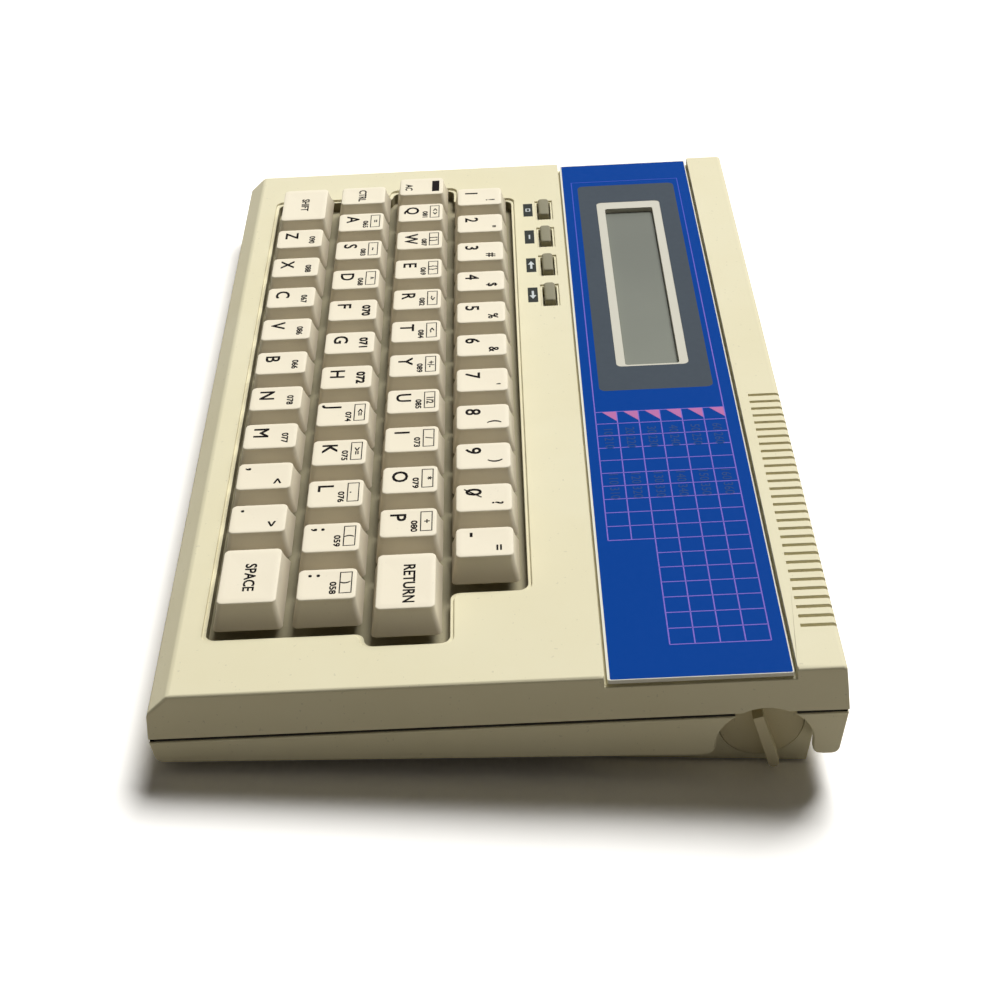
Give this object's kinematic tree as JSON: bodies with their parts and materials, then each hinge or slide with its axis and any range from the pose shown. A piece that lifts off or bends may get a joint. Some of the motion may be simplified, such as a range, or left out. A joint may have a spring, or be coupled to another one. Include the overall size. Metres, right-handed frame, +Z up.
{
  "type": "home computer",
  "caption": "Flat wedge-shaped home computer: keyboard in a recessed well, function buttons, a wide printed panel with a one-line display, vent slots and a turning side disc.",
  "frame": {"origin": "middle of the footprint, on the table under the rubber feet", "axes": "+X to the user's right along the keyboard, +Y from front to rear, +Z up"},
  "size_m": [0.23, 0.1366, 0.0304],
  "materials": {
    "case": "fine grain, light beige",
    "panel": "glossy blue with a printed grid",
    "display": "grey-green display glass on its board",
    "mat": "satin",
    "board": "satin green",
    "knob": "fine grain",
    "screws": "zinc plated",
    "feet": "dull",
    "buttons": "satin olive grey",
    "keys": "satin cream with dark legends"
  },
  "bodies": {
    "case": {"top_shell": "case", "bottom_shell": "case", "display_panel": "panel", "lcd_module": "display", "dome_mat": "mat", "main_board": "board", "case_screws": "screws", "rubber_feet": "feet"},
    "battery_door": {"battery_door": "case"},
    "contrast_knob": {"contrast_knob": "knob"},
    "button_mode": {"button_mode": "buttons"},
    "button_insert": {"button_insert": "buttons"},
    "button_left": {"button_left": "buttons"},
    "button_right": {"button_right": "buttons"},
    "key_1": {"key_1": "keys"},
    "key_2": {"key_2": "keys"},
    "key_3": {"key_3": "keys"},
    "key_4": {"key_4": "keys"},
    "key_5": {"key_5": "keys"},
    "key_6": {"key_6": "keys"},
    "key_7": {"key_7": "keys"},
    "key_8": {"key_8": "keys"},
    "key_9": {"key_9": "keys"},
    "key_0": {"key_0": "keys"},
    "key_minus": {"key_minus": "keys"},
    "key_clear": {"key_clear": "keys"},
    "key_q": {"key_q": "keys"},
    "key_w": {"key_w": "keys"},
    "key_e": {"key_e": "keys"},
    "key_r": {"key_r": "keys"},
    "key_t": {"key_t": "keys"},
    "key_y": {"key_y": "keys"},
    "key_u": {"key_u": "keys"},
    "key_i": {"key_i": "keys"},
    "key_o": {"key_o": "keys"},
    "key_p": {"key_p": "keys"},
    "key_return": {"key_return": "keys"},
    "key_control": {"key_control": "keys"},
    "key_a": {"key_a": "keys"},
    "key_s": {"key_s": "keys"},
    "key_d": {"key_d": "keys"},
    "key_f": {"key_f": "keys"},
    "key_g": {"key_g": "keys"},
    "key_h": {"key_h": "keys"},
    "key_j": {"key_j": "keys"},
    "key_k": {"key_k": "keys"},
    "key_l": {"key_l": "keys"},
    "key_semicolon": {"key_semicolon": "keys"},
    "key_colon": {"key_colon": "keys"},
    "key_shift": {"key_shift": "keys"},
    "key_z": {"key_z": "keys"},
    "key_x": {"key_x": "keys"},
    "key_c": {"key_c": "keys"},
    "key_v": {"key_v": "keys"},
    "key_b": {"key_b": "keys"},
    "key_n": {"key_n": "keys"},
    "key_m": {"key_m": "keys"},
    "key_comma": {"key_comma": "keys"},
    "key_period": {"key_period": "keys"},
    "key_space": {"key_space": "keys"}
  },
  "joints": [
    {"name": "battery_door_slide", "type": "slide", "parent": "case", "child": "battery_door", "axis": [0, 1, 0], "range_m": [0, 0.04]},
    {"name": "contrast_knob_turn", "type": "hinge", "parent": "case", "child": "contrast_knob", "pos_m": [0.1088, 0.05273, 0.01085], "axis": [1, 0, 0], "range_deg": [-61, 29]},
    {"name": "button_mode_press", "type": "slide", "parent": "case", "child": "button_mode", "axis": [0, -0.0785, 0.9969], "range_m": [-0.0012, 0], "stiffness_N_per_m": 200, "springref_m": 0.0005, "deforming": ["dome_mat"]},
    {"name": "button_insert_press", "type": "slide", "parent": "case", "child": "button_insert", "axis": [0, -0.0785, 0.9969], "range_m": [-0.0012, 0], "stiffness_N_per_m": 200, "springref_m": 0.0005, "deforming": ["dome_mat"]},
    {"name": "button_left_press", "type": "slide", "parent": "case", "child": "button_left", "axis": [0, -0.0785, 0.9969], "range_m": [-0.0012, 0], "stiffness_N_per_m": 200, "springref_m": 0.0005, "deforming": ["dome_mat"]},
    {"name": "button_right_press", "type": "slide", "parent": "case", "child": "button_right", "axis": [0, -0.0785, 0.9969], "range_m": [-0.0012, 0], "stiffness_N_per_m": 200, "springref_m": 0.0005, "deforming": ["dome_mat"]},
    {"name": "key_1_press", "type": "slide", "parent": "case", "child": "key_1", "axis": [0, -0.0785, 0.9969], "range_m": [-0.0016, 0], "stiffness_N_per_m": 200, "springref_m": 0.0005, "deforming": ["dome_mat"]},
    {"name": "key_2_press", "type": "slide", "parent": "case", "child": "key_2", "axis": [0, -0.0785, 0.9969], "range_m": [-0.0016, 0], "stiffness_N_per_m": 200, "springref_m": 0.0005, "deforming": ["dome_mat"]},
    {"name": "key_3_press", "type": "slide", "parent": "case", "child": "key_3", "axis": [0, -0.0785, 0.9969], "range_m": [-0.0016, 0], "stiffness_N_per_m": 200, "springref_m": 0.0005, "deforming": ["dome_mat"]},
    {"name": "key_4_press", "type": "slide", "parent": "case", "child": "key_4", "axis": [0, -0.0785, 0.9969], "range_m": [-0.0016, 0], "stiffness_N_per_m": 200, "springref_m": 0.0005, "deforming": ["dome_mat"]},
    {"name": "key_5_press", "type": "slide", "parent": "case", "child": "key_5", "axis": [0, -0.0785, 0.9969], "range_m": [-0.0016, 0], "stiffness_N_per_m": 200, "springref_m": 0.0005, "deforming": ["dome_mat"]},
    {"name": "key_6_press", "type": "slide", "parent": "case", "child": "key_6", "axis": [0, -0.0785, 0.9969], "range_m": [-0.0016, 0], "stiffness_N_per_m": 200, "springref_m": 0.0005, "deforming": ["dome_mat"]},
    {"name": "key_7_press", "type": "slide", "parent": "case", "child": "key_7", "axis": [0, -0.0785, 0.9969], "range_m": [-0.0016, 0], "stiffness_N_per_m": 200, "springref_m": 0.0005, "deforming": ["dome_mat"]},
    {"name": "key_8_press", "type": "slide", "parent": "case", "child": "key_8", "axis": [0, -0.0785, 0.9969], "range_m": [-0.0016, 0], "stiffness_N_per_m": 200, "springref_m": 0.0005, "deforming": ["dome_mat"]},
    {"name": "key_9_press", "type": "slide", "parent": "case", "child": "key_9", "axis": [0, -0.0785, 0.9969], "range_m": [-0.0016, 0], "stiffness_N_per_m": 200, "springref_m": 0.0005, "deforming": ["dome_mat"]},
    {"name": "key_0_press", "type": "slide", "parent": "case", "child": "key_0", "axis": [0, -0.0785, 0.9969], "range_m": [-0.0016, 0], "stiffness_N_per_m": 200, "springref_m": 0.0005, "deforming": ["dome_mat"]},
    {"name": "key_minus_press", "type": "slide", "parent": "case", "child": "key_minus", "axis": [0, -0.0785, 0.9969], "range_m": [-0.0016, 0], "stiffness_N_per_m": 200, "springref_m": 0.0005, "deforming": ["dome_mat"]},
    {"name": "key_clear_press", "type": "slide", "parent": "case", "child": "key_clear", "axis": [0, -0.0785, 0.9969], "range_m": [-0.0016, 0], "stiffness_N_per_m": 200, "springref_m": 0.0005, "deforming": ["dome_mat"]},
    {"name": "key_q_press", "type": "slide", "parent": "case", "child": "key_q", "axis": [0, -0.0785, 0.9969], "range_m": [-0.0016, 0], "stiffness_N_per_m": 200, "springref_m": 0.0005, "deforming": ["dome_mat"]},
    {"name": "key_w_press", "type": "slide", "parent": "case", "child": "key_w", "axis": [0, -0.0785, 0.9969], "range_m": [-0.0016, 0], "stiffness_N_per_m": 200, "springref_m": 0.0005, "deforming": ["dome_mat"]},
    {"name": "key_e_press", "type": "slide", "parent": "case", "child": "key_e", "axis": [0, -0.0785, 0.9969], "range_m": [-0.0016, 0], "stiffness_N_per_m": 200, "springref_m": 0.0005, "deforming": ["dome_mat"]},
    {"name": "key_r_press", "type": "slide", "parent": "case", "child": "key_r", "axis": [0, -0.0785, 0.9969], "range_m": [-0.0016, 0], "stiffness_N_per_m": 200, "springref_m": 0.0005, "deforming": ["dome_mat"]},
    {"name": "key_t_press", "type": "slide", "parent": "case", "child": "key_t", "axis": [0, -0.0785, 0.9969], "range_m": [-0.0016, 0], "stiffness_N_per_m": 200, "springref_m": 0.0005, "deforming": ["dome_mat"]},
    {"name": "key_y_press", "type": "slide", "parent": "case", "child": "key_y", "axis": [0, -0.0785, 0.9969], "range_m": [-0.0016, 0], "stiffness_N_per_m": 200, "springref_m": 0.0005, "deforming": ["dome_mat"]},
    {"name": "key_u_press", "type": "slide", "parent": "case", "child": "key_u", "axis": [0, -0.0785, 0.9969], "range_m": [-0.0016, 0], "stiffness_N_per_m": 200, "springref_m": 0.0005, "deforming": ["dome_mat"]},
    {"name": "key_i_press", "type": "slide", "parent": "case", "child": "key_i", "axis": [0, -0.0785, 0.9969], "range_m": [-0.0016, 0], "stiffness_N_per_m": 200, "springref_m": 0.0005, "deforming": ["dome_mat"]},
    {"name": "key_o_press", "type": "slide", "parent": "case", "child": "key_o", "axis": [0, -0.0785, 0.9969], "range_m": [-0.0016, 0], "stiffness_N_per_m": 200, "springref_m": 0.0005, "deforming": ["dome_mat"]},
    {"name": "key_p_press", "type": "slide", "parent": "case", "child": "key_p", "axis": [0, -0.0785, 0.9969], "range_m": [-0.0016, 0], "stiffness_N_per_m": 200, "springref_m": 0.0005, "deforming": ["dome_mat"]},
    {"name": "key_return_press", "type": "slide", "parent": "case", "child": "key_return", "axis": [0, -0.0785, 0.9969], "range_m": [-0.0016, 0], "stiffness_N_per_m": 200, "springref_m": 0.0005, "deforming": ["dome_mat"]},
    {"name": "key_control_press", "type": "slide", "parent": "case", "child": "key_control", "axis": [0, -0.0785, 0.9969], "range_m": [-0.0016, 0], "stiffness_N_per_m": 200, "springref_m": 0.0005, "deforming": ["dome_mat"]},
    {"name": "key_a_press", "type": "slide", "parent": "case", "child": "key_a", "axis": [0, -0.0785, 0.9969], "range_m": [-0.0016, 0], "stiffness_N_per_m": 200, "springref_m": 0.0005, "deforming": ["dome_mat"]},
    {"name": "key_s_press", "type": "slide", "parent": "case", "child": "key_s", "axis": [0, -0.0785, 0.9969], "range_m": [-0.0016, 0], "stiffness_N_per_m": 200, "springref_m": 0.0005, "deforming": ["dome_mat"]},
    {"name": "key_d_press", "type": "slide", "parent": "case", "child": "key_d", "axis": [0, -0.0785, 0.9969], "range_m": [-0.0016, 0], "stiffness_N_per_m": 200, "springref_m": 0.0005, "deforming": ["dome_mat"]},
    {"name": "key_f_press", "type": "slide", "parent": "case", "child": "key_f", "axis": [0, -0.0785, 0.9969], "range_m": [-0.0016, 0], "stiffness_N_per_m": 200, "springref_m": 0.0005, "deforming": ["dome_mat"]},
    {"name": "key_g_press", "type": "slide", "parent": "case", "child": "key_g", "axis": [0, -0.0785, 0.9969], "range_m": [-0.0016, 0], "stiffness_N_per_m": 200, "springref_m": 0.0005, "deforming": ["dome_mat"]},
    {"name": "key_h_press", "type": "slide", "parent": "case", "child": "key_h", "axis": [0, -0.0785, 0.9969], "range_m": [-0.0016, 0], "stiffness_N_per_m": 200, "springref_m": 0.0005, "deforming": ["dome_mat"]},
    {"name": "key_j_press", "type": "slide", "parent": "case", "child": "key_j", "axis": [0, -0.0785, 0.9969], "range_m": [-0.0016, 0], "stiffness_N_per_m": 200, "springref_m": 0.0005, "deforming": ["dome_mat"]},
    {"name": "key_k_press", "type": "slide", "parent": "case", "child": "key_k", "axis": [0, -0.0785, 0.9969], "range_m": [-0.0016, 0], "stiffness_N_per_m": 200, "springref_m": 0.0005, "deforming": ["dome_mat"]},
    {"name": "key_l_press", "type": "slide", "parent": "case", "child": "key_l", "axis": [0, -0.0785, 0.9969], "range_m": [-0.0016, 0], "stiffness_N_per_m": 200, "springref_m": 0.0005, "deforming": ["dome_mat"]},
    {"name": "key_semicolon_press", "type": "slide", "parent": "case", "child": "key_semicolon", "axis": [0, -0.0785, 0.9969], "range_m": [-0.0016, 0], "stiffness_N_per_m": 200, "springref_m": 0.0005, "deforming": ["dome_mat"]},
    {"name": "key_colon_press", "type": "slide", "parent": "case", "child": "key_colon", "axis": [0, -0.0785, 0.9969], "range_m": [-0.0016, 0], "stiffness_N_per_m": 200, "springref_m": 0.0005, "deforming": ["dome_mat"]},
    {"name": "key_shift_press", "type": "slide", "parent": "case", "child": "key_shift", "axis": [0, -0.0785, 0.9969], "range_m": [-0.0016, 0], "stiffness_N_per_m": 200, "springref_m": 0.0005, "deforming": ["dome_mat"]},
    {"name": "key_z_press", "type": "slide", "parent": "case", "child": "key_z", "axis": [0, -0.0785, 0.9969], "range_m": [-0.0016, 0], "stiffness_N_per_m": 200, "springref_m": 0.0005, "deforming": ["dome_mat"]},
    {"name": "key_x_press", "type": "slide", "parent": "case", "child": "key_x", "axis": [0, -0.0785, 0.9969], "range_m": [-0.0016, 0], "stiffness_N_per_m": 200, "springref_m": 0.0005, "deforming": ["dome_mat"]},
    {"name": "key_c_press", "type": "slide", "parent": "case", "child": "key_c", "axis": [0, -0.0785, 0.9969], "range_m": [-0.0016, 0], "stiffness_N_per_m": 200, "springref_m": 0.0005, "deforming": ["dome_mat"]},
    {"name": "key_v_press", "type": "slide", "parent": "case", "child": "key_v", "axis": [0, -0.0785, 0.9969], "range_m": [-0.0016, 0], "stiffness_N_per_m": 200, "springref_m": 0.0005, "deforming": ["dome_mat"]},
    {"name": "key_b_press", "type": "slide", "parent": "case", "child": "key_b", "axis": [0, -0.0785, 0.9969], "range_m": [-0.0016, 0], "stiffness_N_per_m": 200, "springref_m": 0.0005, "deforming": ["dome_mat"]},
    {"name": "key_n_press", "type": "slide", "parent": "case", "child": "key_n", "axis": [0, -0.0785, 0.9969], "range_m": [-0.0016, 0], "stiffness_N_per_m": 200, "springref_m": 0.0005, "deforming": ["dome_mat"]},
    {"name": "key_m_press", "type": "slide", "parent": "case", "child": "key_m", "axis": [0, -0.0785, 0.9969], "range_m": [-0.0016, 0], "stiffness_N_per_m": 200, "springref_m": 0.0005, "deforming": ["dome_mat"]},
    {"name": "key_comma_press", "type": "slide", "parent": "case", "child": "key_comma", "axis": [0, -0.0785, 0.9969], "range_m": [-0.0016, 0], "stiffness_N_per_m": 200, "springref_m": 0.0005, "deforming": ["dome_mat"]},
    {"name": "key_period_press", "type": "slide", "parent": "case", "child": "key_period", "axis": [0, -0.0785, 0.9969], "range_m": [-0.0016, 0], "stiffness_N_per_m": 200, "springref_m": 0.0005, "deforming": ["dome_mat"]},
    {"name": "key_space_press", "type": "slide", "parent": "case", "child": "key_space", "axis": [0, -0.0785, 0.9969], "range_m": [-0.0016, 0], "stiffness_N_per_m": 200, "springref_m": 0.0005, "deforming": ["dome_mat"]}
  ]
}
